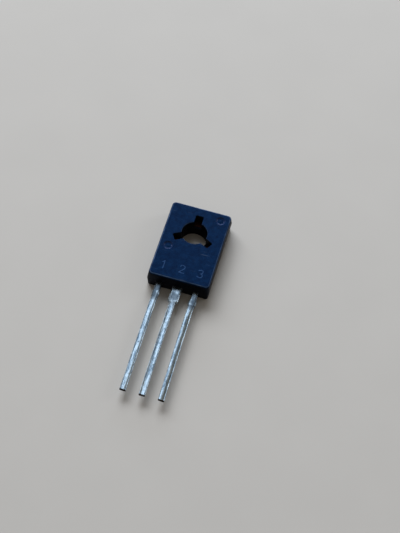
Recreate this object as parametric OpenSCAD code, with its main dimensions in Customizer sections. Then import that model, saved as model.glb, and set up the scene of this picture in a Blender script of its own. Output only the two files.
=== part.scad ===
// Low-power thyristor in a flat three-lead package with a screw hole.
//
// Frame, in millimetres: the origin is on the screw hole's axis, in the plane of the
// heat-sink face. +Z points out of the marked face and the leads point along -Y, so with
// the marked face up and the leads down, +X is on the right. From left to right the leads
// are the cathode, the anode and the gate.

/* [Moulded body] */
// Width of the body at the parting line
body_w = 7.8; // [7.2:0.1:8.4]
// Length of the body at the parting line
body_l = 11.3; // [10.2:0.05:12]
// Thickness from the heat-sink face to the marked face
body_t = 2.6; // [2.4:0.1:3.4]
// Distance from the screw hole's axis to the screw end of the body
hole_to_end = 3.95; // [3.6:0.05:4.2]
// Draft of the walls on each side of the parting line, in degrees
draft_angle = 5; // [1:1:8]
// Radius of the upright corners from the heat-sink face to the parting line
corner_r = 0.3; // [0.2:0.05:0.5]
// Radius of the upright corners where they reach the marked face
front_corner_r = 0.5; // [0.4:0.05:0.8]
// Rounding of the rim round the marked face
front_rim_r = 0.22; // [0.1:0.02:0.3]
// Rounding of the rim round the heat-sink face
back_rim_r = 0.08; // [0.04:0.01:0.14]

/* [Screw hole] */
// Diameter of the screw hole
hole_d = 3.2; // [2.8:0.05:3.5]
// Bevel at each mouth of the screw hole
hole_bevel = 0.08; // [0.04:0.02:0.14]
// Wall of the moulded sleeve that lines the hole in the heat-sink tab
sleeve_t = 0.3; // [0.2:0.05:0.4]

/* [Clamp slots round the screw hole] */
// Number of slots that open the body down to the heat-sink tab
slot_count = 3; // [3:1:4]
// Width of a slot
slot_w = 1; // [0.8:0.05:1.1]
// Distance from the hole's axis to the end of a slot
slot_reach = 2.65; // [2.4:0.05:2.75]
// Radius in the two corners at the end of a slot
slot_corner_r = 0.15; // [0.1:0.05:0.3]

/* [Ejector pin marks] */
// Diameter of a mark
pin_mark_d = 1.15; // [0.9:0.05:1.3]
// Depth of a mark below the marked face
pin_mark_depth = 0.12; // [0.06:0.02:0.2]
// Distance from the middle of a mark to the body's side
pin_mark_to_side = 1.3; // [1.1:0.05:1.4]
// Distance from the middle of the gate-side mark to the screw end of the body
pin_mark_to_end = 1.25; // [1.1:0.05:1.35]

/* [Heat-sink tab] */
// Thickness of the tab, which puts its top at the parting line
tab_t = 1.3; // [1.1:0.05:1.5]
// Width of the pad that shows in the heat-sink face
pad_w = 5.25; // [4.9:0.05:5.6]
// Distance from the hole's axis to the pad's edge at the screw end
pad_top = 3; // [2.8:0.05:3.1]
// Gap between the tab and the bonding posts at its lead end
tab_post_gap = 0.5; // [0.3:0.05:0.6]
// Corner cut of the pad at the screw end, on the cathode's side
pad_corner_cut = 0.64; // [0.4:0.02:0.8]
// Width of the smaller corner cut of the pad, on the gate's side
pad_small_cut = 0.27; // [0.15:0.02:0.35]
// Depth of the index notch in the pad's edge, on the gate's side
notch_depth = 0.22; // [0.12:0.02:0.3]
// Length of the notch's floor
notch_l = 0.54; // [0.4:0.02:0.7]
// Distance from the hole's axis to the middle of the notch, along the body
notch_y = 2; // [1.9:0.02:2.05]
// Width of the locking ledge that the body grips along the tab
ledge_w = 0.3; // [0.2:0.05:0.35]
// Height of the ledge's underside above the heat-sink face
ledge_z = 0.5; // [0.4:0.05:0.7]

/* [Leads] */
// Distance between neighbouring leads
lead_pitch = 2.29; // [2.1:0.01:2.54]
// Length of the leads outside the body
lead_l = 15.2; // [4:0.1:18]
// Width of a lead
lead_w = 0.76; // [0.66:0.02:0.86]
// Thickness of the leads
lead_t = 0.5; // [0.44:0.02:0.6]
// Rounding of a lead's long edges under its tin
lead_edge_r = 0.08; // [0.04:0.01:0.12]
// Width of the anode lead next to the body
wide_w = 1.27; // [1.17:0.02:1.37]
// Length of the anode lead's wide part outside the body
wide_l = 2.05; // [1.9:0.05:2.3]
// Length of the slope from the anode lead's wide part to its narrow part
shoulder_l = 0.2; // [0.1:0.05:0.4]
// How far the stub of the trimmed tie bar stands out of a lead's side
stub_proud = 0.09; // [0.05:0.01:0.14]
// Length of the tie-bar stub along the lead
stub_l = 0.9; // [0.7:0.05:1.1]
// Distance from the body to the near end of the stub
stub_start = 1.2; // [1:0.05:1.4]

/* [Bonding posts inside the body] */
// Width of a post
post_w = 1.8; // [1.6:0.05:1.9]
// Length of a post
post_l = 1.15; // [0.95:0.05:1.25]
// Distance from the lead end of the body to a post
post_cover = 1; // [0.85:0.05:1.05]
// How far a post's middle lies towards the anode from its lead's middle
post_shift = 0.19; // [0.1:0.01:0.24]

/* [Chip and bond wires] */
// Side of the square thyristor chip
chip_side = 1.9; // [1.6:0.05:2]
// Thickness of the chip
chip_t = 0.25; // [0.2:0.01:0.3]
// Thickness of the solder under the chip
solder_t = 0.05; // [0.03:0.01:0.07]
// How far the solder spreads past the chip's edges
solder_spread = 0.1; // [0.04:0.01:0.12]
// Diameter of the cathode's bond wire
cathode_wire_d = 0.3; // [0.25:0.01:0.35]
// Diameter of the gate's bond wire
gate_wire_d = 0.15; // [0.12:0.01:0.2]
// Height of a wire's loop above the chip
wire_loop_h = 0.6; // [0.45:0.05:0.7]

/* [Hidden] */

// Overrun of a cut past the face that it opens
cut_past = 1;
// Circle segments on curves, and steps round a quarter turn of the body's outline
$fn = 64;
corner_steps = 6;
rim_steps = 5;

// The parting line, the tab's top and the leads' tops share one plane.
parting_z = tab_t;
lead_end_y = hole_to_end - body_l;
body_mid_y = hole_to_end - body_l / 2;

hole_r = hole_d / 2;
slot_first_angle = 90;
slot_step = 360 / slot_count;

post_x = lead_pitch - post_shift;
post_top_y = lead_end_y + post_cover + post_l;
post_mid_y = post_top_y - post_l / 2;

pin_mark_x = body_w / 2 - pin_mark_to_side;
pin_mark_y = hole_to_end - pin_mark_to_end;

// The tab: its ledge ends short of the posts, and its pad short of the ledge
ledge_bottom_y = post_top_y + tab_post_gap;
pad_bottom_y = ledge_bottom_y + ledge_w;
tab_hole_r = hole_r + sleeve_t;

// The chip lies halfway between the tab's hole and the pad's lead end
chip_y = (pad_bottom_y - tab_hole_r) / 2;

chip_z = tab_t + solder_t;
chip_top_z = chip_z + chip_t;

// Where the wires land on the chip, as shares of its side from its middle
cathode_bond = [-0.21, -0.1] * chip_side;
gate_bond = [0.34, -0.34] * chip_side;

// Size of the flattened foot of a wedge bond, in wire diameters
foot_w_ratio = 1.4;
foot_l_ratio = 2.8;
foot_t_ratio = 0.6;

SIDE_CATHODE = -1;
SIDE_GATE = 1;

compound = [0.06, 0.09, 0.18];
tinned_copper = [0.66, 0.70, 0.76];
silicon = [0.30, 0.31, 0.36];
solder = [0.56, 0.57, 0.58];
aluminium = [0.80, 0.81, 0.82];

// ---------------------------------------------------------------- body outline

// Inward lean of a drafted wall at height z
function draft_inset(z) = abs(z - parting_z) * tan(draft_angle);

// Corner radius of the wall at height z: constant below the parting line, and
// growing from there to the marked face
function wall_corner_r(z) =
    z <= parting_z
        ? corner_r
        : corner_r + (front_corner_r - corner_r) * (z - parting_z) / (body_t - parting_z);

// One level of the body: its height, its inset from the parting line and its corner radius.
// "turn" runs from 0 on the flat face to 90 on the wall, round a rim of radius r.
function rim_level(face_z, inward, r, turn) =
    let (z = face_z + inward * r * (1 - cos(turn)), in = r * (1 - sin(turn)))
    [z, draft_inset(z) + in, max(wall_corner_r(z) - in, 0.05)];

function body_levels() = concat(
    [for (i = [0:rim_steps]) rim_level(0, 1, back_rim_r, 90 * i / rim_steps)],
    [[parting_z, 0, corner_r]],
    [for (i = [rim_steps:-1:0]) rim_level(body_t, -1, front_rim_r, 90 * i / rim_steps)]
);

// The points of one level, anticlockwise seen from the marked face
function level_points(level) =
    let (half_w = body_w / 2 - level[1], half_l = body_l / 2 - level[1], r = level[2])
    [
        for (quarter = [0:3], i = [0:corner_steps])
            let (
                a = 90 * (quarter + i / corner_steps),
                side_x = (quarter == 0 || quarter == 3) ? 1 : -1,
                side_y = quarter < 2 ? 1 : -1
            )
            [
                side_x * (half_w - r) + r * cos(a),
                side_y * (half_l - r) + r * sin(a),
                level[0],
            ]
    ];

// A closed solid through levels that have equally many points
module loft(rings) {
    n = len(rings[0]);
    last = len(rings) - 1;
    polyhedron(
        points = [for (ring = rings) for (p = ring) p],
        faces = concat(
            [[for (i = [0:n - 1]) i]],
            [for (k = [0:last - 1], i = [0:n - 1])
                let (j = (i + 1) % n)
                [k * n + i, (k + 1) * n + i, (k + 1) * n + j, k * n + j]],
            [[for (i = [n - 1:-1:0]) last * n + i]]
        ),
        convexity = 4
    );
}

module body_block() {
    translate([0, body_mid_y, 0])
        loft([for (level = body_levels()) level_points(level)]);
}

// ------------------------------------------------------------------ body cuts

module screw_hole() {
    translate([0, 0, -cut_past])
        cylinder(d = hole_d, h = body_t + 2 * cut_past);
    mouth_r = hole_r + hole_bevel;
    translate([0, 0, body_t - hole_bevel])
        cylinder(r1 = hole_r, r2 = mouth_r + cut_past, h = hole_bevel + cut_past);
    translate([0, 0, -cut_past])
        cylinder(r1 = mouth_r + cut_past, r2 = hole_r, h = hole_bevel + cut_past);
}

// Plan of one slot, from the hole's axis along +X
module slot_outline() {
    corner_x = slot_reach - slot_corner_r;
    corner_y = slot_w / 2 - slot_corner_r;
    translate([0, -slot_w / 2])
        square([corner_x, slot_w]);
    translate([0, -corner_y])
        square([slot_reach, 2 * corner_y]);
    for (side = [-1, 1])
        translate([corner_x, side * corner_y])
            circle(r = slot_corner_r);
}

// The slots left by the mould's fingers, which hold the tab down while the body is filled
module clamp_slots() {
    for (i = [0:slot_count - 1])
        rotate(slot_first_angle + i * slot_step)
            translate([0, 0, tab_t])
                linear_extrude(body_t - tab_t + cut_past)
                    slot_outline();
}

module pin_marks() {
    for (side = [SIDE_CATHODE, SIDE_GATE])
        translate([side * pin_mark_x, side * pin_mark_y, body_t - pin_mark_depth])
            cylinder(d = pin_mark_d, h = pin_mark_depth + cut_past);
}

// ------------------------------------------------------------------ lead frame

// Section of a lead, with rounded long edges and its top at the parting line
module lead_section(w) {
    r = lead_edge_r;
    translate([0, parting_z - lead_t / 2]) {
        square([w - 2 * r, lead_t], center = true);
        square([w, lead_t - 2 * r], center = true);
        for (x = [-1, 1], z = [-1, 1])
            translate([x * (w / 2 - r), z * (lead_t / 2 - r)])
                circle(r = r);
    }
}

// A straight length of lead from y = from_y to y = to_y, where to_y is the lower
module lead_bar(w, from_y, to_y) {
    translate([0, from_y, 0])
        rotate([90, 0, 0])
            linear_extrude(from_y - to_y)
                lead_section(w);
}

// A flat piece of the frame in the leads' plane, from a plan drawn by its children
module lead_plate() {
    translate([0, 0, parting_z - lead_t])
        linear_extrude(lead_t)
            children();
}

// What the trimming tool leaves of the bar that tied the leads together
module tie_bar_stub() {
    half = lead_w / 2;
    near = lead_end_y - stub_start;
    far = near - stub_l;
    lead_plate()
        polygon([
            [half, near], [half + stub_proud, near - stub_proud],
            [half + stub_proud, far + stub_proud], [half, far],
            [-half, far], [-half - stub_proud, far + stub_proud],
            [-half - stub_proud, near - stub_proud], [-half, near],
        ]);
}

// A lead that ends in a bonding post, with its own middle at x = 0.
// "inward" is the direction along X in which the anode lies.
module posted_lead(inward) {
    lead_bar(lead_w, post_mid_y, lead_end_y - lead_l);
    tie_bar_stub();
    lead_plate()
        translate([inward * post_shift, post_mid_y])
            square([post_w, post_l], center = true);
}

module side_lead(side) {
    translate([side * lead_pitch, 0, 0])
        posted_lead(-side);
}

// Plan of the pad that shows in the heat-sink face
module pad_outline() {
    half = pad_w / 2;
    slope = notch_depth;
    polygon([
        [-half, pad_bottom_y],
        [half, pad_bottom_y],
        [half, notch_y - notch_l / 2 - slope],
        [half - notch_depth, notch_y - notch_l / 2],
        [half - notch_depth, notch_y + notch_l / 2],
        [half - slope / 3, notch_y + notch_l / 2 + slope],
        [half - pad_small_cut, pad_top],
        [pad_corner_cut - half, pad_top],
        [-half, pad_top - pad_corner_cut],
    ]);
}

// The thick tab: the pad, and above it the ledge that the body grips
module tab_block() {
    ledge_top_y = notch_y - notch_l / 2 - notch_depth;
    linear_extrude(tab_t)
        pad_outline();
    translate([-pad_w / 2 - ledge_w, ledge_bottom_y, ledge_z])
        cube([pad_w + 2 * ledge_w, ledge_top_y - ledge_bottom_y, tab_t - ledge_z]);
}

// The anode lead: wide next to the body, and sloping to the width of the other leads
module anode_lead() {
    wide_end_y = lead_end_y - wide_l;
    narrow_start_y = wide_end_y - shoulder_l;
    lead_bar(wide_w, pad_bottom_y, wide_end_y);
    lead_plate()
        polygon([
            [-wide_w / 2, wide_end_y], [-lead_w / 2, narrow_start_y],
            [lead_w / 2, narrow_start_y], [wide_w / 2, wide_end_y],
        ]);
    lead_bar(lead_w, wide_end_y, lead_end_y - lead_l);
}

module anode_frame_solid() {
    difference() {
        tab_block();
        translate([0, 0, -cut_past])
            cylinder(r = tab_hole_r, h = tab_t + 2 * cut_past);
    }
    anode_lead();
}

// -------------------------------------------------------------- chip and wires

module square_slab(side, z, t) {
    translate([-side / 2, chip_y - side / 2, z])
        cube([side, side, t]);
}

module chip_solid() {
    square_slab(chip_side, chip_z, chip_t);
}

module solder_solid() {
    square_slab(chip_side + 2 * solder_spread, tab_t, solder_t);
}

// The flattened end of a wire where it is pressed on to a surface
module bond_foot(d) {
    foot_w = foot_w_ratio * d;
    straight = (foot_l_ratio - foot_w_ratio) * d;
    linear_extrude(foot_t_ratio * d) {
        square([straight, foot_w], center = true);
        for (end = [-1, 1])
            translate([end * straight / 2, 0])
                circle(d = foot_w);
    }
}

// A wire that arches from one surface point to another, with a foot on each
module bond_wire(from, to, d) {
    a = from + [0, 0, d / 2];
    b = to + [0, 0, d / 2];
    mid = (a + b) / 2;
    chord = norm(b - a);
    heading = atan2(b[1] - a[1], b[0] - a[0]);
    climb = asin((b[2] - a[2]) / chord);
    rise = chip_top_z + wire_loop_h - d / 2 - mid[2];
    loop_r = (chord * chord / 4 + rise * rise) / (2 * rise);
    half_turn = 2 * atan(2 * rise / chord);
    translate(mid)
        rotate([0, -climb, heading])
            translate([0, 0, rise - loop_r])
                rotate([90, 0, 0])
                    rotate_extrude(angle = 2 * half_turn, start = 90 - half_turn)
                        translate([loop_r, 0])
                            circle(d = d);
    for (end = [from, to])
        translate(end)
            rotate(heading)
                bond_foot(d);
}

module wire_to_post(side, bond, d) {
    bond_wire(
        [bond[0], chip_y + bond[1], chip_top_z],
        [side * post_x, post_mid_y, tab_t],
        d
    );
}

// ----------------------------------------------------------------------- nodes

module anode_frame() {
    color(tinned_copper) anode_frame_solid();
}

module cathode_lead() {
    color(tinned_copper) side_lead(SIDE_CATHODE);
}

module gate_lead() {
    color(tinned_copper) side_lead(SIDE_GATE);
}

module silicon_chip() {
    color(silicon) chip_solid();
}

module chip_solder() {
    color(solder) solder_solid();
}

module cathode_wire() {
    color(aluminium) wire_to_post(SIDE_CATHODE, cathode_bond, cathode_wire_d);
}

module gate_wire() {
    color(aluminium) wire_to_post(SIDE_GATE, gate_bond, gate_wire_d);
}

// The compound fills everything between the outside and the pieces moulded into it.
module moulded_body() {
    color(compound)
        difference() {
            body_block();
            screw_hole();
            clamp_slots();
            pin_marks();
            anode_frame_solid();
            side_lead(SIDE_CATHODE);
            side_lead(SIDE_GATE);
            solder_solid();
            chip_solid();
            wire_to_post(SIDE_CATHODE, cathode_bond, cathode_wire_d);
            wire_to_post(SIDE_GATE, gate_bond, gate_wire_d);
        }
}

moulded_body();
anode_frame();
cathode_lead();
gate_lead();
silicon_chip();
chip_solder();
cathode_wire();
gate_wire();
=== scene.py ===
"""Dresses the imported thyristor, a low-power silicon controlled rectifier.

It has a flat epoxy body with a screw hole, a heat-sink tab and three tinned leads. Sizes
are written in millimetres and built in metres, in the frame of the CAD model: the origin
is on the screw hole's axis in the heat-sink face, +Z points out of the marked face, and
the leads point along -Y.
"""

import logging
import math
from dataclasses import dataclass, field
from enum import Enum
from typing import Any, Callable

import bmesh
import bpy
from mathutils import Matrix, Vector

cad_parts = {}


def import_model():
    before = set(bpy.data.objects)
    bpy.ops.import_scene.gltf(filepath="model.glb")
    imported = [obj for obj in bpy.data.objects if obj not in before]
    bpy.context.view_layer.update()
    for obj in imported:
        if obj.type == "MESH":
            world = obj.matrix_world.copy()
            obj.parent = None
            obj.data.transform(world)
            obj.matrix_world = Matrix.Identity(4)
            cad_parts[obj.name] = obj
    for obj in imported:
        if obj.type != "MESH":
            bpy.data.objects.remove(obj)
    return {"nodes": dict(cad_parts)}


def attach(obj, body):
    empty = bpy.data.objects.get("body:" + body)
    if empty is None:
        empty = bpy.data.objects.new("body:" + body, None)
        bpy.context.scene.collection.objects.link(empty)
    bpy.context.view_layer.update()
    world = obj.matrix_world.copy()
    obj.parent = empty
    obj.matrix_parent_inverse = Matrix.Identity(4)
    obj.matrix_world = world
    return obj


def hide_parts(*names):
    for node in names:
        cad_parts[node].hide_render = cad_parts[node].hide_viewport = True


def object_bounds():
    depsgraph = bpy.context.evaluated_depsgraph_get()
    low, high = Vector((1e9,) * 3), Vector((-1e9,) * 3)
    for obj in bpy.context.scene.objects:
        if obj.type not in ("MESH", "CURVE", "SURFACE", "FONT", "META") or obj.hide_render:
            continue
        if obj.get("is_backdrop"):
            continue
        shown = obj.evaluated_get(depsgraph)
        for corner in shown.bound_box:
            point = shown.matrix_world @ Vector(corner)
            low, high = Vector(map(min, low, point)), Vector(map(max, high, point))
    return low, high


MM = 0.001
PER_MM = 1000.0

# Sizes in millimetres that the body, the leads and their finishes share
FACE_Z = 2.6
BODY_END_Y = -7.35
LEAD_PITCH = 2.29

# A lead is swept from this far inside the body, where the CAD solid takes over.
LEAD_START = 0.3

# In a copied CAD mesh, points this close and faces this near to level with each other join.
WELD = 0.0002
SAME_PLANE_DEG = 0.5

EPOXY_IOR = 1.52

# Blender's names of the nodes that are used most
MATH = "ShaderNodeMath"
MIX = "ShaderNodeMix"
NOISE = "ShaderNodeTexNoise"
REMAP = "ShaderNodeMapRange"
SPLIT = "ShaderNodeSeparateXYZ"
JOIN = "ShaderNodeCombineXYZ"
SMOOTH = {"interpolation_type": "SMOOTHSTEP"}

# Blender's names of the sockets that take each type of value
SOCKET_KINDS = {
    float: "NodeSocketFloat",
    int: "NodeSocketInt",
    bpy.types.Material: "NodeSocketMaterial",
    bpy.types.Object: "NodeSocketObject",
}

Point = tuple[float, float, float]
Range = tuple[float, float]
Socket = bpy.types.NodeSocket

log = logging.getLogger("thyristor")


class Side(Enum):
    """The side of the body that a lead leaves on, as the sign of its X."""

    CATHODE = -1
    ANODE = 0
    GATE = 1


class Region(Enum):
    """Parts of a carried-over solid that take different finishes."""

    PAD = 0
    BARE = 1


# ------------------------------------------------------------------------ shared helpers


def linear(colour: str) -> tuple[float, float, float, float]:
    """Turns an sRGB colour to the linear values that a shader takes.

    Args:
        colour: The colour as "#rrggbb".

    Returns:
        Red, green, blue and an alpha of 1.
    """
    shares = [int(colour[i : i + 2], 16) / 255 for i in (1, 3, 5)]
    red, green, blue = [
        s / 12.92 if s <= 0.04045 else ((s + 0.055) / 1.055) ** 2.4 for s in shares
    ]
    return red, green, blue, 1.0


def smooth_by_angle(mesh: bpy.types.Mesh, degrees: float = 30.0) -> None:
    """Shades a mesh smooth, apart from its edges that turn more than an angle.

    Args:
        mesh: The mesh to shade.
        degrees: Turn past which an edge stays sharp.
    """
    mesh.polygons.foreach_set("use_smooth", [True] * len(mesh.polygons))
    mesh.set_sharp_from_angle(angle=math.radians(degrees))


def bake_modifiers(piece: bpy.types.Object) -> None:
    """Turns what a piece's modifiers make into its plain mesh.

    Args:
        piece: The piece, which loses its modifiers.
    """
    shown = piece.evaluated_get(bpy.context.evaluated_depsgraph_get())
    made = bpy.data.meshes.new_from_object(shown)
    piece.modifiers.clear()
    made.name, piece.data = piece.data.name, made


def new_object(name: str, mesh: bpy.types.Mesh) -> bpy.types.Object:
    """Puts a mesh in the scene as an object at the origin.

    Args:
        name: Name of the object and its mesh.
        mesh: The mesh, in place in the frame.

    Returns:
        The new object.
    """
    mesh.name = name
    piece = bpy.data.objects.new(name, mesh)
    bpy.context.scene.collection.objects.link(piece)
    return piece


def copy_of_node(
    node: bpy.types.Object,
    name: str,
    trim: Callable[[bmesh.types.BMesh], None] | None = None,
    refine: Callable[[bmesh.types.BMesh], None] | None = None,
) -> bpy.types.Object:
    """Copies a CAD node as one closed mesh, with its flat faces whole.

    Args:
        node: The CAD node, whose mesh is loose triangles.
        name: Name of the copy.
        trim: Works on the copy before its flat faces are joined.
        refine: Works on the copy after they are joined.

    Returns:
        The copy, as an object at the origin.
    """
    mesh = node.data.copy()
    mesh.materials.clear()
    work = bmesh.new()
    work.from_mesh(mesh)
    bmesh.ops.remove_doubles(work, verts=work.verts, dist=WELD * MM)
    if trim:
        trim(work)
    bmesh.ops.dissolve_limit(
        work, angle_limit=math.radians(SAME_PLANE_DEG), verts=work.verts, edges=work.edges
    )
    if refine:
        refine(work)
    work.to_mesh(mesh)
    work.free()
    smooth_by_angle(mesh)
    piece = new_object(name, mesh)
    # The large faces stay flat, and only the small ones between them are rounded.
    piece.modifiers.new("weighted_normals", "WEIGHTED_NORMAL").keep_sharp = True
    bake_modifiers(piece)
    return piece


class Wiring:
    """A node tree that is being wired."""

    def __init__(self, tree: bpy.types.NodeTree) -> None:
        """Takes the tree."""
        self.tree = tree

    def feed(self, node: bpy.types.Node, inputs: dict[str, Any] | tuple[Any, ...]) -> None:
        """Links or sets a node's sockets.

        Args:
            node: The node.
            inputs: What goes into its sockets, by name or in order. A node or a socket is
                linked, and anything else is the socket's value.
        """
        pairs = inputs.items() if isinstance(inputs, dict) else enumerate(inputs)
        for key, value in pairs:
            if isinstance(key, int):
                socket = node.inputs[key]
            else:
                socket = next(s for s in node.inputs if s.name == key and s.enabled)
            if isinstance(value, bpy.types.Node):
                value = next(s for s in value.outputs if s.enabled)
            if isinstance(value, Socket):
                self.tree.links.new(value, socket)
            else:
                socket.default_value = value

    def add(
        self, kind: str, inputs: dict[str, Any] | tuple[Any, ...] = (), **settings: Any
    ) -> bpy.types.Node:
        """Adds a node, with its settings, values and links.

        Args:
            kind: Blender's name of the node's type.
            inputs: What goes into its sockets, as feed takes it.
            settings: The node's own settings.

        Returns:
            The new node.
        """
        node = self.tree.nodes.new(kind)
        for name, value in settings.items():
            setattr(node, name, value)
        self.feed(node, inputs)
        return node


# ---------------------------------------------------------------------------- finishes


class Coat(Wiring):
    """A material being made, with its shader and the Object coordinates in metres."""

    def __init__(self, name: str) -> None:
        """Starts the material.

        Args:
            name: Name of the material.
        """
        self.material = bpy.data.materials.new(name)
        self.material.use_nodes = True
        super().__init__(self.material.node_tree)
        self.shader = self.tree.nodes["Principled BSDF"]
        self.place = self.add("ShaderNodeTexCoord").outputs["Object"]


@dataclass(frozen=True)
class Finish:
    """What every finish shares: a name, and a rule for what its shader takes."""

    name: str

    def shade(self, coat: Coat) -> dict[str, Any]:
        """Gives the shader's inputs, which each finish works out in its own way."""
        raise NotImplementedError

    def make(self) -> bpy.types.Material:
        """Builds the material.

        Returns:
            The material.
        """
        coat = Coat(self.name)
        coat.feed(coat.shader, self.shade(coat))
        return coat.material


@dataclass(frozen=True)
class MouldedEpoxy(Finish):
    """Epoxy moulding compound, transfer moulded in a steel tool.

    The epoxy is nearly black. The marked face takes the tool's spark-eroded texture, and
    its navy colour is a painted sheen, for bluish light reflected from above; the blue
    specular tint adds to this painted reflection. The drafted walls are ground smooth in
    the tool and stay nearly black. Carbon black and silica filler leave a faint cloudy
    mottle all over. The eroded grain is really a few hundredths of a millimetre wide, and
    is drawn coarser so that it shows. The pale rim is partly rubbed wear and partly a
    painted highlight.
    """

    name: str = "moulded_epoxy"
    face: str = "#021330"
    face_sheen_light: str = "#09284d"
    wall: str = "#030408"
    back: str = "#161e33"
    rim: str = "#5a7396"
    scuff: str = "#6b7d99"
    tint: str = "#6c9cec"
    grain_mm: float = 0.11
    cloud_mm: float = 0.55
    wear_mm: float = 1.6
    # How often the noise repeats in a millimetre along, across and through a scuff
    scuffs_per_mm: Point = (0.44, 5.2, 0.8)
    # Each layer of scuffs, by its turn in radians and its start in the noise
    scuff_layers: tuple[tuple[float, float], ...] = ((0.7, 0.0), (-0.35, 8.0), (1.9, 18.0))
    roughness: float = 0.5
    rubbed_roughness: float = 0.32
    # Heights at which each skin of the moulding starts and is full
    marked_z: Range = (FACE_Z - 0.2, FACE_Z - 0.13)
    rubbed_z: Range = (FACE_Z - 0.002, FACE_Z - 0.03)
    above_marks_z: Range = (FACE_Z - 0.08, FACE_Z - 0.05)
    proud_z: Range = (FACE_Z - 0.03, FACE_Z - 0.005)
    back_z: Range = (0.09, 0.01)

    def shade(self, coat: Coat) -> dict[str, Any]:
        """Works out the mottled face with its painted sheen, the dark walls, the rubbed rim with
        its painted highlight, and the scuffs.

        Args:
            coat: The material being made.

        Returns:
            The shader's inputs.
        """
        add, place = coat.add, coat.place
        height = add(SPLIT, {"Vector": place}).outputs["Z"]
        marked, rubbed, above_marks = (
            add(REMAP, {"Value": height, "From Min": low * MM, "From Max": full * MM}, **SMOOTH)
            for low, full in (self.marked_z, self.rubbed_z, self.above_marks_z)
        )
        proud, back = (
            add(REMAP, {"Value": height, "From Min": low * MM, "From Max": full * MM})
            for low, full in (self.proud_z, self.back_z)
        )

        cloud = add(NOISE, {"Vector": place, "Scale": PER_MM / self.cloud_mm, "Detail": 5.0})
        grain = add(
            NOISE,
            {"Vector": place, "Scale": PER_MM / self.grain_mm, "Detail": 2.0, "Roughness": 0.6},
        )
        blotches = add(
            REMAP,
            {"Value": cloud, "From Min": 0.3, "From Max": 0.7, "To Min": 0.3, "To Max": 0.75},
            **SMOOTH,
        )
        mottle = add(MATH, (grain, 1.6, -0.8), operation="MULTIPLY_ADD")
        mottle = add(MATH, (mottle, blotches), operation="ADD", use_clamp=True)
        # The navy face colour is a painted sheen, standing for bluish light that the nearly black
        # epoxy reflects from above.
        face = add(
            MIX,
            {"Factor": mottle, "A": linear(self.face), "B": linear(self.face_sheen_light)},
            data_type="RGBA",
        )

        # The rim round the marked face is rubbed smooth by handling, and is paler, here more
        # and there less: the pale colour is partly wear and partly a painted highlight. Only the
        # marked face, which lies proud, is scuffed.
        wear = add(NOISE, {"Vector": place, "Scale": PER_MM / self.wear_mm, "Detail": 2.0})
        wear = add(
            REMAP,
            {"Value": wear, "From Min": 0.35, "From Max": 0.65, "To Min": 0.15, "To Max": 0.85},
        )
        rubbed = add(MATH, (rubbed, above_marks), operation="MULTIPLY")
        worn = add(MATH, (rubbed, wear), operation="MULTIPLY")
        scuffed = add(MATH, (self.scuffs(coat), proud), operation="MULTIPLY")

        # The wall colour is the epoxy's own. Over it go the back's own colour, the face's painted
        # sheen, the rim's wear with its painted highlight, and the scuffs.
        base: Any = linear(self.wall)
        for share, colour in (
            (back, linear(self.back)),
            (marked, face),
            (worn, linear(self.rim)),
            (scuffed, linear(self.scuff)),
        ):
            base = add(MIX, {"Factor": share, "A": base, "B": colour}, data_type="RGBA")

        rough = add(
            REMAP,
            {"Value": cloud, "To Min": self.roughness - 0.08, "To Max": self.roughness + 0.08},
        )
        rough = add(MIX, {"Factor": rubbed, "A": rough, "B": self.rubbed_roughness})
        bump = add(
            "ShaderNodeBump", {"Height": grain, "Strength": 0.35, "Distance": 0.012 * MM}
        )
        return {
            "Base Color": base,
            "Roughness": rough,
            "Normal": bump,
            "IOR": EPOXY_IOR,
            "Specular IOR Level": 0.12,
            "Specular Tint": linear(self.tint),
        }

    def scuffs(self, coat: Coat) -> bpy.types.Node:
        """Adds a few fine scratches, each a stretched speck of noise.

        Args:
            coat: The material being made.

        Returns:
            The node that gives the share of scratch.
        """
        stretch = tuple(often * PER_MM for often in self.scuffs_per_mm)
        total: Any = 0.0
        for turn, start in self.scuff_layers:
            turned = coat.add(
                "ShaderNodeMapping",
                {
                    "Vector": coat.place,
                    "Location": (start, start, 0.0),
                    "Rotation": (0.0, 0.0, turn),
                    "Scale": stretch,
                },
            )
            specks = coat.add(NOISE, {"Vector": turned, "Scale": 1.0, "Detail": 1.0})
            share = coat.add(
                REMAP, {"Value": specks, "From Min": 0.72, "From Max": 0.84, "To Max": 0.2}
            )
            total = coat.add(MATH, (total, share), operation="ADD", use_clamp=True)
        return total


@dataclass(frozen=True)
class BurnishedEpoxy(Finish):
    """Epoxy skin left glossy by the polished ejector pins, so that it takes a highlight.

    Its navy colour, like the marked face's, is a painted sheen over epoxy that is nearly
    black.
    """

    name: str = "pin_burnished_epoxy"
    colour: str = "#10264d"
    tint: str = "#b0c8ff"
    grain_mm: float = 0.3

    def shade(self, coat: Coat) -> dict[str, Any]:
        """Works out an uneven gloss.

        Args:
            coat: The material being made.

        Returns:
            The shader's inputs.
        """
        grain = coat.add(NOISE, {"Vector": coat.place, "Scale": PER_MM / self.grain_mm})
        return {
            "Base Color": linear(self.colour),
            "Roughness": coat.add(REMAP, {"Value": grain, "To Min": 0.2, "To Max": 0.4}),
            "IOR": EPOXY_IOR,
            "Specular Tint": linear(self.tint),
        }


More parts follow.
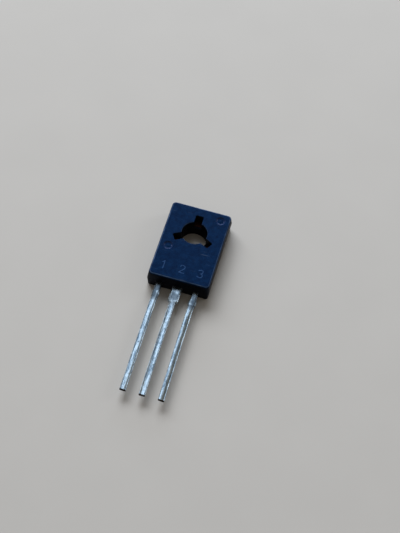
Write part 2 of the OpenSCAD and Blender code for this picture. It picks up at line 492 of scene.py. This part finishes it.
@dataclass(frozen=True)
class TinnedCopper(Finish):
    """Matte tin plate over stamped copper.

    The plate is bright grey with a cold cast. Its grains and the rolling lines under it
    give a mottle that runs along the strip, broken by dark specks where it is scuffed. Tin
    grains are finer than a tenth of a millimetre, and are drawn coarser so that they show.
    """

    name: str = "tinned_copper"
    bright: str = "#c3d6e4"
    dull: str = "#7d94a8"
    pit: str = "#27323f"
    frost_and_dark_reflection: str = "#46525e"
    grain_mm: float = 0.2
    streak_mm: float = 1.5
    pit_mm: float = 0.23
    patch_mm: float = 0.75
    roughness: float = 0.2
    pit_share: float = 0.8
    frosting: float = 0.06
    frost_and_dark_reflection_share: float = 0.78
    # Ranges along the leads, and off a lead's middle, over which the frosting and its painted dark
    # reflection set in
    frosted_y: Range = (-10.4, -9.4)
    frost_and_dark_reflection_aside: Range = (0.48, 0.36)

    def shade(self, coat: Coat) -> dict[str, Any]:
        """Works out the mottle, the specks, and the rough start of the leads with its painted dark
        reflection.

        Args:
            coat: The material being made.

        Returns:
            The shader's inputs.
        """
        add, place = coat.add, coat.place
        along = add(
            "ShaderNodeMapping",
            {"Vector": place, "Scale": (1.0, self.grain_mm / self.streak_mm, 1.0)},
        )
        fine = {"Scale": PER_MM / self.grain_mm, "Detail": 3.0}
        streaks = add(NOISE, {"Vector": along, **fine})
        grain = add(NOISE, {"Vector": place, **fine, "Roughness": 0.65})
        mottle = add(MIX, {"Factor": 0.35, "A": streaks, "B": grain})
        contrast = add(REMAP, {"Value": mottle, "From Min": 0.36, "From Max": 0.6}, **SMOOTH)
        specks = add(NOISE, {"Vector": place, "Scale": PER_MM / self.pit_mm, "Detail": 1.0})
        pits = add(
            REMAP,
            {"Value": specks, "From Min": 0.7, "From Max": 0.76, "To Max": self.pit_share},
            **SMOOTH,
        )

        # Near the body the plate is rougher, and darker in patches on the leads' flat middle only,
        # so that their edges stay bright: the darker colour is partly frosting and partly a
        # painted dark reflection.
        axes = add(SPLIT, {"Vector": place})
        aside = add(MATH, (axes.outputs["X"], LEAD_PITCH / 2 * MM), operation="PINGPONG")
        near, middle = (
            add(REMAP, {"Value": value, "From Min": low * MM, "From Max": full * MM}, **SMOOTH)
            for value, (low, full) in (
                (axes.outputs["Y"], self.frosted_y),
                (aside, self.frost_and_dark_reflection_aside),
            )
        )
        patches = add(NOISE, {"Vector": place, "Scale": PER_MM / self.patch_mm, "Detail": 2.0})
        frosted_and_dark_reflection = add(REMAP, {"Value": patches, "From Min": 0.34, "From Max": 0.54}, **SMOOTH)
        for share in (middle, near, self.frost_and_dark_reflection_share):
            frosted_and_dark_reflection = add(MATH, (frosted_and_dark_reflection, share), operation="MULTIPLY")

        base: Any = linear(self.dull)
        for share, colour in ((contrast, self.bright), (pits, self.pit), (frosted_and_dark_reflection, self.frost_and_dark_reflection)):
            base = add(MIX, {"Factor": share, "A": base, "B": linear(colour)}, data_type="RGBA")

        rough = add(
            REMAP,
            {
                "Value": mottle,
                "From Min": 0.3,
                "From Max": 0.7,
                "To Min": self.roughness + 0.07,
                "To Max": self.roughness - 0.05,
            },
        )
        return {
            "Base Color": base,
            "Roughness": add(MATH, (near, self.frosting, rough), operation="MULTIPLY_ADD"),
            "Normal": add(
                "ShaderNodeBump", {"Height": mottle, "Strength": 0.8, "Distance": 0.012 * MM}
            ),
            "Metallic": 1.0,
        }


@dataclass(frozen=True)
class PlainMetal(Finish):
    """Bare metal of one colour, or silicon polished like it, with a slightly uneven gloss.

    The metal is rolled copper where the body leaves the frame bare, copper sheared at the
    tips of the leads, drawn aluminium wire or soft solder. The sheared copper is near
    black, partly from oxide and partly as painted shade.
    """

    colour: str
    roughness: float
    grain_mm: float = 0.08
    bump_mm: float = 0.006

    def shade(self, coat: Coat) -> dict[str, Any]:
        """Works out the grain.

        Args:
            coat: The material being made.

        Returns:
            The shader's inputs.
        """
        grain = coat.add(
            NOISE, {"Vector": coat.place, "Scale": PER_MM / self.grain_mm, "Detail": 2.0}
        )
        tone = coat.add(
            REMAP, {"Value": grain, "From Min": 0.3, "From Max": 0.7, "To Min": 0.7, "To Max": 1.0}
        )
        black = (0.0, 0.0, 0.0, 1.0)
        return {
            "Base Color": coat.add(
                MIX, {"Factor": tone, "A": black, "B": linear(self.colour)}, data_type="RGBA"
            ),
            "Roughness": coat.add(
                REMAP,
                {"Value": grain, "To Min": self.roughness - 0.08, "To Max": self.roughness + 0.08},
            ),
            "Normal": coat.add(
                "ShaderNodeBump",
                {"Height": grain, "Strength": 0.4, "Distance": self.bump_mm * MM},
            ),
            "Metallic": 1.0,
        }


@dataclass(frozen=True)
class LaserMark(Finish):
    """Epoxy skin burnt back by a marking laser.

    The burnt filler is a matte grey-blue, a little lighter than the face round it.
    """

    name: str = "laser_marked_epoxy"
    faint: str = "#1a3763"
    burnt: str = "#375a89"
    grain_mm: float = 0.3
    roughness: float = 0.8

    def shade(self, coat: Coat) -> dict[str, Any]:
        """Works out how far the laser has burnt the skin.

        Args:
            coat: The material being made.

        Returns:
            The shader's inputs.
        """
        burn = coat.add(NOISE, {"Vector": coat.place, "Scale": PER_MM / self.grain_mm})
        return {
            "Base Color": coat.add(
                MIX,
                {"Factor": burn, "A": linear(self.faint), "B": linear(self.burnt)},
                data_type="RGBA",
            ),
            "Roughness": self.roughness,
            "Specular IOR Level": 0.2,
        }


@dataclass(frozen=True)
class MattFloor(Finish):
    """Pale matt laminate, plain, which scatters light evenly."""

    name: str = "matt_laminate"
    dark: str = "#bdbdbb"
    light: str = "#c2c2c0"
    mottle_mm: float = 9.0

    def shade(self, coat: Coat) -> dict[str, Any]:
        """Works out a mottle that hardly shows.

        Args:
            coat: The material being made.

        Returns:
            The shader's inputs.
        """
        mottle = coat.add(
            NOISE, {"Vector": coat.place, "Scale": PER_MM / self.mottle_mm, "Detail": 2.0}
        )
        return {
            "Base Color": coat.add(
                MIX,
                {"Factor": mottle, "A": linear(self.dark), "B": linear(self.light)},
                data_type="RGBA",
            ),
            "Roughness": 0.75,
        }


# --------------------------------------------------------------------- geometry nodes


class Rule(Wiring):
    """A Geometry Nodes tree with named inputs, run once to make a plain mesh."""

    def __init__(self, name: str, values: dict[str, Any]) -> None:
        """Starts a tree that has its inputs and nothing else.

        Args:
            name: Name of the tree.
            values: The value of each named input.
        """
        super().__init__(bpy.data.node_groups.new(name, "GeometryNodeTree"))
        sockets = self.tree.interface
        sockets.new_socket("Geometry", in_out="OUTPUT", socket_type="NodeSocketGeometry")
        self.values: dict[str, Any] = {}
        for key, value in values.items():
            kind = SOCKET_KINDS[type(value)]
            item = sockets.new_socket(key, in_out="INPUT", socket_type=kind)
            self.values[item.identifier] = value
        self.inlet = self.add("NodeGroupInput")
        self.outlet = self.add("NodeGroupOutput")

    def __getitem__(self, name: str) -> Socket:
        """Gives the socket that holds a named input's value inside the tree."""
        return self.inlet.outputs[name]

    def run(self, name: str, geometry: bpy.types.Node) -> bpy.types.Object:
        """Runs the tree and keeps its result as a plain mesh.

        Args:
            name: Name of the new piece.
            geometry: The node that gives the result.

        Returns:
            The new piece, without its modifier.
        """
        self.feed(self.outlet, {"Geometry": geometry})
        piece = new_object(name, bpy.data.meshes.new(name))
        modifier = piece.modifiers.new(name, "NODES")
        modifier.node_group = self.tree
        for identifier, value in self.values.items():
            modifier[identifier] = value
        bake_modifiers(piece)
        return piece


# ------------------------------------------------------------------------ sub-assemblies


@dataclass
class MouldedBody:
    """The epoxy body, with its screw hole, clamp slots and ejector pin marks."""

    epoxy: bpy.types.Material
    burnished: bpy.types.Material
    name: str = "epoxy_body"
    slot_bevel: float = 0.05
    mark_bevel: float = 0.03
    mark_floor_z: float = 2.48
    mark_floor_share: float = 0.66
    mark_reach: float = 0.64
    marks: tuple[tuple[float, float], ...] = ((-2.6, -2.7), (2.6, 2.7))
    nib_inset: float = 0.14
    nib_slope: float = 0.05
    nib_height: float = 0.02
    # How far a point may lie off a level and still count as on it
    level: float = 0.001
    # Rise of a face's normal past which the face is flat, and below which it is a wall
    flat: float = 0.99
    upright: float = 0.1

    def in_mark(self, place: Vector) -> bool:
        """Tells whether a point of the marked face lies on a pin mark's mouth."""
        return any(
            math.dist((place.x / MM, place.y / MM), mark) < self.mark_reach for mark in self.marks
        )

    def soften_mouths(self, work: bmesh.types.BMesh) -> None:
        """Rounds the mouths of the slots and pin marks, as the worn mould leaves them.

        Args:
            work: The body's mesh being edited.
        """
        mouths: dict[bool, list[bmesh.types.BMEdge]] = {True: [], False: []}
        for edge in work.edges:
            if any(abs(v.co.z - FACE_Z * MM) > self.level * MM for v in edge.verts):
                continue
            rises = sorted(abs(face.normal.z) for face in edge.link_faces)
            if len(rises) == 2 and rises[0] < self.upright and rises[1] > self.flat:
                mouths[self.in_mark(edge.verts[0].co)].append(edge)
        for is_mark, size in ((True, self.mark_bevel), (False, self.slot_bevel)):
            bmesh.ops.bevel(
                work,
                geom=mouths[is_mark],
                offset=size * MM,
                offset_type="OFFSET",
                segments=3,
                profile=0.5,
                affect="EDGES",
                clamp_overlap=True,
            )
        self.dish_marks(work)

    def dish_marks(self, work: bmesh.types.BMesh) -> None:
        """Slopes the pin marks' walls, and raises the nib in the middle of each.

        Args:
            work: The body's mesh being edited.
        """
        floor_z = self.mark_floor_z * MM
        floors = [
            face
            for face in work.faces
            if face.normal.z > self.flat
            and abs(face.calc_center_median().z - floor_z) < self.level * MM
        ]
        for floor in floors:
            middle = floor.calc_center_median()
            for vert in floor.verts:
                vert.co = middle + (vert.co - middle) * self.mark_floor_share
            bmesh.ops.inset_region(work, faces=[floor], thickness=self.nib_inset * MM)
            bmesh.ops.inset_region(
                work, faces=[floor], thickness=self.nib_slope * MM, depth=self.nib_height * MM
            )

    def build(self, nodes: dict[str, bpy.types.Object]) -> bpy.types.Object:
        """Copies the body's solid and dresses it.

        Args:
            nodes: The CAD nodes, by name.

        Returns:
            The body.
        """
        piece = copy_of_node(nodes["moulded_body"], self.name, refine=self.soften_mouths)
        piece.data.materials.append(self.epoxy)
        piece.data.materials.append(self.burnished)
        for face in piece.data.polygons:
            walled = face.normal.z < self.flat and self.in_mark(face.center)
            low = face.center.z < (FACE_Z - self.level) * MM
            high = face.center.z > (self.mark_floor_z + self.nib_height) * MM
            face.material_index = int(walled and low and high)
        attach(piece, "root")
        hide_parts("moulded_body")
        return piece


@dataclass
class FlatLead:
    """A tinned lead outside the body, swept from a rounded strip.

    Its width follows a rule along its length: a wide part by the body, a slope, and the
    stubs that the trimming tool leaves of the tie bar.
    """

    side: Side
    tin: bpy.types.Material
    sheared: bpy.types.Material
    seed: int
    length: float = 15.2
    width: float = 0.76
    thickness: float = 0.5
    top_z: float = 1.3
    edge_r: float = 0.08
    wide_width: float = 0.76
    wide_length: float = 2.05
    shoulder: float = 0.2
    stub_proud: float = 0.09
    stub_start: float = 1.2
    stub_length: float = 0.9
    square_end: float = 0.6
    twist_end: float = 4.0
    swell: float = 0.012
    swell_length: float = 0.9
    crown: float = 0.032
    twist: float = 0.0
    sway: float = 0.0
    step: float = 0.06
    corner_points: int = 4
    section_points: int = 44

    def sizes(self) -> dict[str, Any]:
        """Gives the inputs of the lead's tree, with its sizes in metres.

        Returns:
            The value of each input, by name.
        """
        sizes = {
            "Middle X": self.side.value * LEAD_PITCH,
            "Middle Z": self.top_z - self.thickness / 2,
            "Start Y": BODY_END_Y + LEAD_START,
            "Body End Y": BODY_END_Y,
            "Tip Y": BODY_END_Y - self.length,
            "Length": self.length,
            "Width": self.width,
            "Half Width": self.width / 2,
            "Thickness": self.thickness,
            "Edge Radius": self.edge_r,
            "Widening": (self.wide_width - self.width) / 2,
            "Wide End": self.wide_length,
            "Slope End": self.wide_length + self.shoulder,
            "Stub Proud": self.stub_proud,
            "Stub Start": self.stub_start,
            "Stub Risen": self.stub_start + self.stub_proud,
            "Stub Falls": self.stub_start + self.stub_length - self.stub_proud,
            "Stub End": self.stub_start + self.stub_length,
            "Body End": 0.0,
            "Square End": self.square_end,
            "Twist End": self.twist_end,
            "Swell": self.swell,
            "Sway": self.sway,
            "Step": self.step,
        }
        others = {
            "Crown Share": self.crown / (self.thickness / 2),
            "Twist": self.twist,
            "Seed": float(self.seed),
            "Tin": self.tin,
            "Sheared": self.sheared,
        }
        return {name: size * MM for name, size in sizes.items()} | others

    def strip(self, rule: Rule) -> bpy.types.Node:
        """Sweeps the straight strip.

        Args:
            rule: The lead's tree.

        Returns:
            The node that gives the strip.
        """
        add, x, z = rule.add, rule["Middle X"], rule["Middle Z"]
        path = add(
            "GeometryNodeCurvePrimitiveLine",
            {
                "Start": add(JOIN, {"X": x, "Y": rule["Start Y"], "Z": z}),
                "End": add(JOIN, {"X": x, "Y": rule["Tip Y"], "Z": z}),
            },
        )
        path = add(
            "GeometryNodeResampleCurve", {"Curve": path, "Length": rule["Step"]}, mode="LENGTH"
        )
        path = add("GeometryNodeSetCurveNormal", {"Curve": path}, mode="Z_UP")
        section = add(
            "GeometryNodeCurvePrimitiveQuadrilateral",
            {"Width": rule["Width"], "Height": rule["Thickness"]},
            mode="RECTANGLE",
        )
        section = add(
            "GeometryNodeFilletCurve",
            {"Curve": section, "Radius": rule["Edge Radius"], "Count": self.corner_points},
            mode="POLY",
        )
        section = add(
            "GeometryNodeResampleCurve",
            {"Curve": section, "Count": self.section_points},
            mode="COUNT",
        )
        return add(
            "GeometryNodeCurveToMesh",
            {"Curve": path, "Profile Curve": section, "Fill Caps": True},
        )

    def offset(self, rule: Rule) -> bpy.types.Node:
        """Works out how far each point of the strip moves to give the lead its form.

        Args:
            rule: The lead's tree.

        Returns:
            The node that gives the offset.
        """
        add = rule.add
        here = add("GeometryNodeInputPosition")
        axes = add(SPLIT, {"Vector": here}).outputs
        # A point's way out of the body, and off the lead's middle to the side and up
        out = add(MATH, (rule["Body End Y"], axes["Y"]), operation="SUBTRACT")
        aside = add(MATH, (axes["X"], rule["Middle X"]), operation="SUBTRACT")
        above = add(MATH, (axes["Z"], rule["Middle Z"]), operation="SUBTRACT")
        share = add(MATH, (aside, rule["Half Width"]), operation="DIVIDE")
        wide, risen, fallen, free, turned = (
            add(REMAP, {"Value": out, "From Min": rule[none], "From Max": rule[full]})
            for none, full in (
                ("Slope End", "Wide End"),
                ("Stub Start", "Stub Risen"),
                ("Stub End", "Stub Falls"),
                ("Body End", "Square End"),
                ("Square End", "Twist End"),
            )
        )

        # The wide part and the stubs push both sides out, and the whole lead sways.
        stub = add(MATH, (risen, fallen), operation="MULTIPLY")
        stub = add(MATH, (stub, rule["Stub Proud"]), operation="MULTIPLY")
        wider = add(MATH, (wide, rule["Widening"], stub), operation="MULTIPLY_ADD")
        bent = add(MATH, (out, rule["Length"]), operation="DIVIDE")
        bent = add(MATH, (bent, 2.0), operation="POWER")
        bent = add(MATH, (bent, rule["Sway"]), operation="MULTIPLY")
        across = add(MATH, (share, wider, bent), operation="MULTIPLY_ADD")

        # The strip is square where it enters the body, and crowned and a little twisted
        # and uneven further out.
        fall = add(MATH, (share, share), operation="MULTIPLY")
        for factor in (rule["Crown Share"], above, free):
            fall = add(MATH, (fall, factor), operation="MULTIPLY")
        tilt = add(MATH, (aside, rule["Twist"]), operation="MULTIPLY")
        tilt = add(MATH, (tilt, turned), operation="MULTIPLY")
        up = add(MATH, (tilt, fall), operation="SUBTRACT")
        swell = add(
            NOISE,
            {
                "Vector": here,
                "W": rule["Seed"],
                "Scale": PER_MM / self.swell_length,
                "Detail": 2.0,
            },
            noise_dimensions="4D",
        )
        swell = add(MATH, (swell, 0.5), operation="SUBTRACT")
        for factor in (free, rule["Swell"]):
            swell = add(MATH, (swell, factor), operation="MULTIPLY")
        normal = add("GeometryNodeInputNormal")
        lift = add("ShaderNodeVectorMath", {"Vector": normal, "Scale": swell}, operation="SCALE")
        shift = add(JOIN, {"X": across, "Z": up})
        return add("ShaderNodeVectorMath", (shift, lift), operation="ADD")

    def build(self, name: str) -> bpy.types.Object:
        """Sweeps the lead.

        Args:
            name: Name of the piece.

        Returns:
            The lead, from inside the body to its sheared tip.
        """
        rule = Rule("swept_lead", self.sizes())
        add = rule.add
        formed = add(
            "GeometryNodeSetPosition",
            {"Geometry": self.strip(rule), "Offset": self.offset(rule)},
        )
        whole = add("GeometryNodeRealizeInstances", {"Geometry": formed})
        plated = add("GeometryNodeSetMaterial", {"Geometry": whole, "Material": rule["Tin"]})
        facing = add(SPLIT, {"Vector": add("GeometryNodeInputNormal")})
        # Only the tip faces straight out along -Y.
        tip = add(
            "FunctionNodeCompare",
            {"A": facing.outputs["Y"], "B": -0.9},
            data_type="FLOAT",
            operation="LESS_THAN",
        )
        ended = add(
            "GeometryNodeSetMaterial",
            {"Geometry": plated, "Selection": tip, "Material": rule["Sheared"]},
        )
        piece = rule.run(name, ended)
        smooth_by_angle(piece.data, 40.0)
        return piece


@dataclass
class LeadFrame:
    """The copper frame: the tab with its pad, the posts and the three leads."""

    tin: bpy.types.Material
    pad: bpy.types.Material
    bare: bpy.types.Material
    sheared: bpy.types.Material
    pad_skin: float = 0.02

    def inner(self, node: bpy.types.Object, name: str) -> bpy.types.Object:
        """Copies the part of a frame solid that lies behind the lead's start.

        Args:
            node: The CAD node.
            name: Name of the copy.

        Returns:
            The copy, closed where the lead is cut off, with its pad tinned and the rest bare.
        """

        def trim(work: bmesh.types.BMesh) -> None:
            """Cuts the lead off and closes the cut.

            Args:
                work: The mesh being edited.
            """
            cut = bmesh.ops.bisect_plane(
                work,
                geom=[*work.verts, *work.edges, *work.faces],
                plane_co=(0.0, (BODY_END_Y + LEAD_START) * MM, 0.0),
                plane_no=(0.0, -1.0, 0.0),
                clear_outer=True,
            )["geom_cut"]
            rim = [part for part in cut if isinstance(part, bmesh.types.BMEdge)]
            bmesh.ops.holes_fill(work, edges=rim)

        piece = copy_of_node(node, name, trim)
        piece.data.materials.append(self.pad)
        piece.data.materials.append(self.bare)
        for face in piece.data.polygons:
            low = face.center.z < self.pad_skin * MM
            face.material_index = Region.PAD.value if low else Region.BARE.value
        return piece

    def join(
        self, inner: bpy.types.Object, lead: bpy.types.Object, node: str, name: str
    ) -> bpy.types.Object:
        """Joins a lead to the part of the frame that it grows from.

        Args:
            inner: The part inside the body.
            lead: The lead outside it.
            node: The CAD node that they stand for.
            name: Name of the joined piece.

        Returns:
            The joined piece.
        """
        with bpy.context.temp_override(
            active_object=inner, selected_editable_objects=[inner, lead]
        ):
            bpy.ops.object.join()
        inner.name = inner.data.name = name
        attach(inner, "root")
        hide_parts(node)
        return inner

    def build(self, nodes: dict[str, bpy.types.Object]) -> list[bpy.types.Object]:
        """Makes the three leads and what they hold inside the body.

        Args:
            nodes: The CAD nodes, by name.

        Returns:
            The anode, cathode and gate pieces.
        """
        made = []
        for side, node, name, form in (
            (
                Side.ANODE, "anode_frame", "anode_tab_and_lead",
                {"seed": 3, "twist": 0.03, "sway": 0.1, "wide_width": 1.27, "stub_proud": 0.0},
            ),
            (
                Side.CATHODE, "cathode_lead", "cathode_post_and_lead",
                {"seed": 7, "twist": -0.06, "sway": 0.08, "stub_proud": 0.05},
            ),
            (
                Side.GATE, "gate_lead", "gate_post_and_lead",
                {"seed": 11, "twist": -0.13, "sway": 0.12},
            ),
        ):
            lead = FlatLead(side, self.tin, self.sheared, **form)
            inner = self.inner(nodes[node], name + "_inner")
            made.append(self.join(inner, lead.build(name + "_outer"), node, name))
        return made


@dataclass
class LaserNumbers:
    """Plain lead numbers burnt into the marked face above the leads."""

    mark: bpy.types.Material
    proud: float = 0.004
    middle_y: float = -5.55
    height: float = 1.1
    width: float = 0.62
    spot_d: float = 0.12
    spot_pitch: float = 0.085
    wander: float = 0.015
    # Least and most of a spot's size, as shares of its diameter
    spot_sizes: Range = (0.75, 1.1)
    spot_corners: int = 12
    seed: int = 5
    # Each digit's stroke, in shares of its width and height
    strokes: dict[int, list[tuple[float, float]]] = field(
        default_factory=lambda: {
            1: [(0.15, 0.78), (0.5, 1.0), (0.5, 0.0)],
            2: [
                (0.02, 0.78), (0.15, 0.95), (0.5, 1.0), (0.85, 0.93),
                (0.96, 0.74), (0.85, 0.55), (0.0, 0.0), (1.0, 0.0),
            ],
            3: [
                (0.05, 0.92), (0.45, 1.0), (0.85, 0.93), (0.92, 0.74), (0.75, 0.58), (0.4, 0.53),
                (0.8, 0.47), (1.0, 0.28), (0.85, 0.07), (0.45, 0.0), (0.0, 0.1),
            ],
        }
    )

    def paths(self) -> bpy.types.Mesh:
        """Draws the strokes as lines.

        Returns:
            A mesh of edges along the strokes, on the marked face.
        """
        points: list[Point] = []
        edges: list[tuple[int, int]] = []
        low = self.middle_y - self.height / 2
        z = (FACE_Z + self.proud) * MM
        for digit, stroke in self.strokes.items():
            left = (digit - 2) * LEAD_PITCH - self.width / 2
            first = len(points)
            points += [
                ((left + u * self.width) * MM, (low + v * self.height) * MM, z)
                for u, v in stroke
            ]
            edges += [(i, i + 1) for i in range(first, len(points) - 1)]
        mesh = bpy.data.meshes.new("number_paths")
        mesh.from_pydata(points, edges, [])
        return mesh

    def spots(self, rule: Rule) -> bpy.types.Node:
        """Sets laser spots along the lines, each a little off its place and size.

        Args:
            rule: The numbers' tree.

        Returns:
            The node that gives the spots.
        """
        add = rule.add
        drawn = add("GeometryNodeObjectInfo", {"Object": rule["Lines"]})
        curves = add("GeometryNodeMeshToCurve", (drawn.outputs["Geometry"],))
        points = add(
            "GeometryNodeCurveToPoints",
            {"Curve": curves, "Length": rule["Spot Pitch"]},
            mode="LENGTH",
        )
        off = add(
            "FunctionNodeRandomValue",
            {"Min": (-1.0, -1.0, 0.0), "Max": (1.0, 1.0, 0.0), "Seed": rule["Seed"]},
            data_type="FLOAT_VECTOR",
        )
        off = add(
            "ShaderNodeVectorMath", {"Vector": off, "Scale": rule["Wander"]}, operation="SCALE"
        )
        moved = add("GeometryNodeSetPosition", {"Geometry": points, "Offset": off})
        disc = add(
            "GeometryNodeMeshCircle",
            {"Vertices": self.spot_corners, "Radius": rule["Spot Radius"]},
            fill_type="NGON",
        )
        least, most = self.spot_sizes
        other_seed = add(MATH, (rule["Seed"], 1), operation="ADD")
        size = add(
            "FunctionNodeRandomValue",
            {"Min": least, "Max": most, "Seed": other_seed},
            data_type="FLOAT",
        )
        placed = add(
            "GeometryNodeInstanceOnPoints", {"Points": moved, "Instance": disc, "Scale": size}
        )
        whole = add("GeometryNodeRealizeInstances", {"Geometry": placed})
        return add("GeometryNodeSetMaterial", {"Geometry": whole, "Material": rule["Mark"]})

    def build(self) -> bpy.types.Object:
        """Burns the numbers.

        Returns:
            The spots, as one mesh.
        """
        lines = new_object("number_paths", self.paths())
        values = {
            "Lines": lines,
            "Spot Radius": self.spot_d / 2 * MM,
            "Spot Pitch": self.spot_pitch * MM,
            "Wander": self.wander * MM,
            "Seed": self.seed,
            "Mark": self.mark,
        }
        rule = Rule("laser_spots", values)
        piece = rule.run("laser_lead_numbers", self.spots(rule))
        bpy.data.objects.remove(lines)
        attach(piece, "root")
        return piece


@dataclass
class ChipAndWires:
    """The silicon chip, the solder under it and its two bond wires, all inside the body."""

    silicon: bpy.types.Material
    solder: bpy.types.Material
    wire: bpy.types.Material

    def dress(self, nodes: dict[str, bpy.types.Object]) -> list[bpy.types.Object]:
        """Gives the CAD solids their finishes.

        Args:
            nodes: The CAD nodes, by name.

        Returns:
            The dressed nodes.
        """
        finishes = {
            "silicon_chip": self.silicon,
            "chip_solder": self.solder,
            "cathode_wire": self.wire,
            "gate_wire": self.wire,
        }
        for name, finish in finishes.items():
            materials = nodes[name].data.materials
            materials.clear()
            materials.append(finish)
        return [nodes[name] for name in finishes]


@dataclass
class Lamp:
    """A soft lamp, placed round the part as a photographer would say it.

    Azimuth 0 is the side that the leads point to, 90 is +X, and both angles are in degrees.
    """

    name: str
    azimuth: float
    elevation: float
    distance: float
    width: float
    height: float
    radiance: float
    colour: str
    mirrored: bool = True

    def build(self, aim: Vector) -> bpy.types.Object:
        """Hangs the lamp and points it.

        Args:
            aim: The point that it faces.

        Returns:
            The lamp.
        """
        light = bpy.data.lights.new(self.name, "AREA")
        light.shape = "RECTANGLE"
        light.size, light.size_y = self.width * MM, self.height * MM
        light.energy = self.radiance * math.pi * light.size * light.size_y
        light.color = linear(self.colour)[:3]
        lamp = bpy.data.objects.new(self.name, light)
        turn, rise = math.radians(self.azimuth), math.radians(self.elevation)
        level = Vector((math.sin(turn), -math.cos(turn), 0.0)) * math.cos(rise)
        back = level + Vector((0.0, 0.0, math.sin(rise)))
        lamp.location = aim + back * self.distance * MM
        lamp.rotation_euler = back.to_track_quat("Z", "Y").to_euler()
        lamp.visible_camera = False
        lamp.visible_glossy = self.mirrored
        bpy.context.scene.collection.objects.link(lamp)
        return lamp


@dataclass
class Studio:
    """The camera, the floor and the lamps."""

    floor: bpy.types.Material
    eye: Point = (16.484, -91.992, 139.599)
    aim: Point = (1.816, -3.698, 1.3)
    roll: float = -7.23
    lens: float = 91.13
    sensor: float = 36.0
    nearest: float = 5.0
    farthest: float = 10000.0
    floor_side: float = 1200.0
    lit_point: Point = (0.0, -8.0, 1.3)
    world: str = "#ffeed8"
    world_strength: float = 0.2

    def camera(self) -> bpy.types.Object:
        """Sets the camera up.

        Returns:
            The camera.
        """
        data = bpy.data.cameras.new("camera")
        data.lens, data.sensor_width = self.lens, self.sensor
        data.clip_start, data.clip_end = self.nearest * MM, self.farthest * MM
        camera = bpy.data.objects.new("camera", data)
        eye, aim = Vector(self.eye) * MM, Vector(self.aim) * MM
        back = (eye - aim).normalized()
        level = Vector((0.0, 0.0, 1.0)).cross(back).normalized()
        roll = math.radians(self.roll)
        up = back.cross(level) * math.cos(roll) + level * math.sin(roll)
        turned = Matrix((up.cross(back), up, back)).transposed().to_4x4()
        camera.matrix_world = Matrix.Translation(eye) @ turned
        bpy.context.scene.collection.objects.link(camera)
        bpy.context.scene.camera = camera
        return camera

    def ground(self) -> bpy.types.Object:
        """Lays the floor in the plane of the heat-sink face.

        Returns:
            The floor.
        """
        half = self.floor_side / 2 * MM
        corners = [(-half, -half, 0.0), (half, -half, 0.0), (half, half, 0.0), (-half, half, 0.0)]
        mesh = bpy.data.meshes.new("floor")
        mesh.from_pydata(corners, [], [(0, 1, 2, 3)])
        mesh.materials.append(self.floor)
        floor = new_object("floor", mesh)
        floor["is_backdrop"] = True
        return floor

    def light(self) -> list[bpy.types.Object]:
        """Hangs the lamps and sets the world.

        Returns:
            The lamps.
        """
        world = bpy.data.worlds.new("studio")
        world.use_nodes = True
        sky = world.node_tree.nodes["Background"]
        sky.inputs["Color"].default_value = linear(self.world)
        sky.inputs["Strength"].default_value = self.world_strength
        bpy.context.scene.world = world
        lamps = [
            Lamp("window", 190.0, 57.0, 520.0, 170.0, 240.0, 1.4, "#e0efff"),
            Lamp("strip", 190.0, 14.0, 520.0, 320.0, 110.0, 9.0, "#e6f1ff"),
            Lamp("right_edge", 125.0, 30.0, 520.0, 130.0, 180.0, 3.0, "#f2f7ff"),
            Lamp("left_edge", 238.0, 22.0, 520.0, 150.0, 150.0, 2.5, "#f2f7ff"),
            Lamp("key", 210.0, 40.0, 700.0, 560.0, 380.0, 7.7, "#fbfcff", mirrored=False),
        ]
        return [lamp.build(Vector(self.lit_point) * MM) for lamp in lamps]

    def build(self) -> None:
        """Sets up the view, the floor and the light."""
        self.camera()
        self.ground()
        self.light()
        bpy.context.scene.view_settings.view_transform = "Standard"


# -------------------------------------------------------------------------------- main


def box_as_lists() -> list[list[float]]:
    """Measures the object.

    Returns:
        Its lowest and highest corners, in metres.
    """
    bpy.context.view_layer.update()
    return [list(corner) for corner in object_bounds()]


def report(piece: bpy.types.Object) -> None:
    """Logs a piece.

    Args:
        piece: The piece.
    """
    log.info("%s: %d faces", piece.name, len(piece.data.polygons))


def main() -> None:
    """Builds and dresses the thyristor and its studio."""
    logging.basicConfig(level=logging.INFO, format="%(message)s")
    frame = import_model()
    cad_box = box_as_lists()
    nodes = frame["nodes"]

    tin = TinnedCopper().make()
    pad = TinnedCopper(
        "tinned_pad", bright="#e4eaf2", dull="#b5c1d2", pit_share=0.4, frost_and_dark_reflection_share=0.0
    ).make()
    bare = PlainMetal("bare_copper", colour="#46261e", roughness=0.5).make()
    # The sheared tips are near black, partly from oxide and partly as painted shade.
    sheared = PlainMetal("sheared_copper", colour="#2a2019", roughness=0.55, grain_mm=0.05).make()
    silicon = PlainMetal("polished_silicon", colour="#6a6c76", roughness=0.12).make()
    solder = PlainMetal("die_attach_solder", colour="#8f9092", roughness=0.45).make()
    wire = PlainMetal("drawn_aluminium", colour="#d0d2d4", roughness=0.3).make()

    report(MouldedBody(MouldedEpoxy().make(), BurnishedEpoxy().make()).build(nodes))
    for piece in LeadFrame(tin, pad, bare, sheared).build(nodes):
        report(piece)
    for piece in ChipAndWires(silicon, solder, wire).dress(nodes):
        report(piece)
    report(LaserNumbers(LaserMark().make()).build())
    Studio(MattFloor().make()).build()

    {"before": cad_box, "after": box_as_lists()}


if __name__ == "__main__":
    main()
